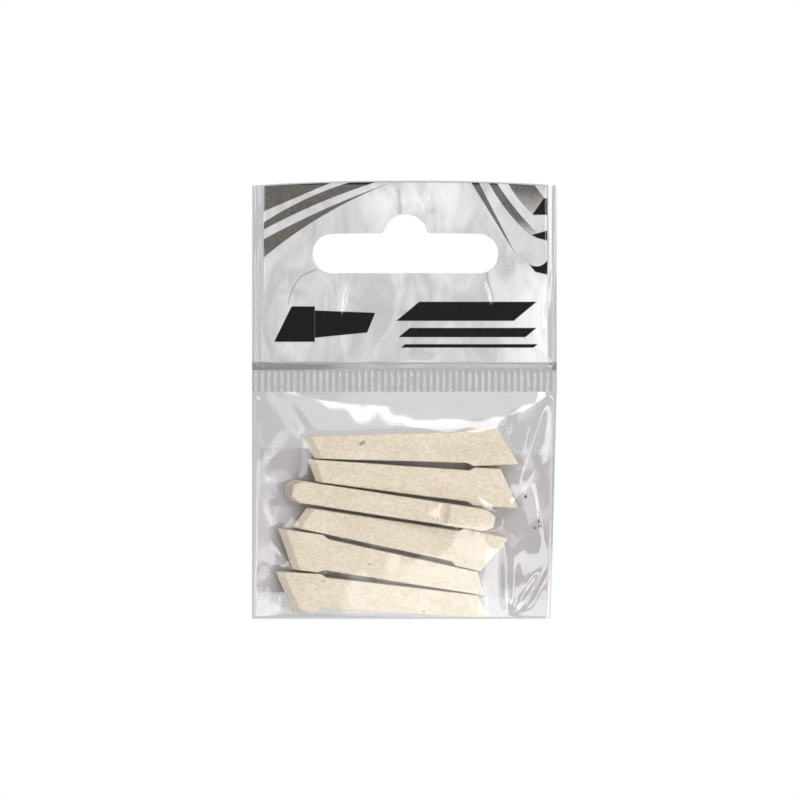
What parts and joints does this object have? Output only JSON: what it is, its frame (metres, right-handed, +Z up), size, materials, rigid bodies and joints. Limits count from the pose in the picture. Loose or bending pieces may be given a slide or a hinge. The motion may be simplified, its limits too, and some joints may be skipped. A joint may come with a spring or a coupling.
{
  "type": "pouch of marker nibs",
  "caption": "Clear hang pouch with a folded header card, euro slot, ribbed heat seal and back label, holding loose chisel felt nibs.",
  "frame": {"origin": "the peg's seat: the crown of the bump on top of the euro slot, halfway through the header's thickness", "axes": "+Z up as it hangs, +X to the right seen from the front, the printed front faces -Y"},
  "size_m": [0.0524, 0.0081, 0.0753],
  "materials": {
    "clear_film": "clear glossy film",
    "sealed_film": "clear film, heat-sealed and ribbed",
    "printed_card": "satin white board with dark grey and black print",
    "label_paper": "matt white label paper",
    "nib_felt": "matt pressed fibre felt"
  },
  "bodies": {
    "header": {"header_card": "printed_card", "header_film_front": "clear_film", "header_film_back": "clear_film"},
    "pouch": {"crimp_seal": "sealed_film", "pouch_film_front": "clear_film", "pouch_film_back": "clear_film", "back_label": "label_paper"},
    "nib_1": {"nib_1": "nib_felt"},
    "nib_2": {"nib_2": "nib_felt"},
    "nib_3": {"nib_3": "nib_felt"},
    "nib_4": {"nib_4": "nib_felt"},
    "nib_5": {"nib_5": "nib_felt"},
    "nib_6": {"nib_6": "nib_felt"}
  },
  "joints": [
    {"name": "pouch_fold", "type": "hinge", "parent": "header", "child": "pouch", "pos_m": [0, 0, -0.0266], "axis": [1, 0, 0], "range_deg": [-140, 140]},
    {"name": "nib_1_slide", "type": "slide", "parent": "pouch", "child": "nib_1", "axis": [0.9991, 0, 0.0419], "range_m": [-0.0015, 0.0015]},
    {"name": "nib_2_slide", "type": "slide", "parent": "pouch", "child": "nib_2", "axis": [0.9982, 0, -0.0593], "range_m": [-0.0015, 0.0015]},
    {"name": "nib_3_slide", "type": "slide", "parent": "pouch", "child": "nib_3", "axis": [0.9888, 0, -0.1495], "range_m": [-0.0015, 0.0015]},
    {"name": "nib_4_slide", "type": "slide", "parent": "pouch", "child": "nib_4", "axis": [0.9751, 0, -0.2215], "range_m": [-0.0015, 0.0015]},
    {"name": "nib_5_slide", "type": "slide", "parent": "pouch", "child": "nib_5", "axis": [0.9895, 0, -0.1444], "range_m": [-0.0015, 0.0015]},
    {"name": "nib_6_slide", "type": "slide", "parent": "pouch", "child": "nib_6", "axis": [0.999, 0, -0.0454], "range_m": [-0.0015, 0.0015]}
  ]
}
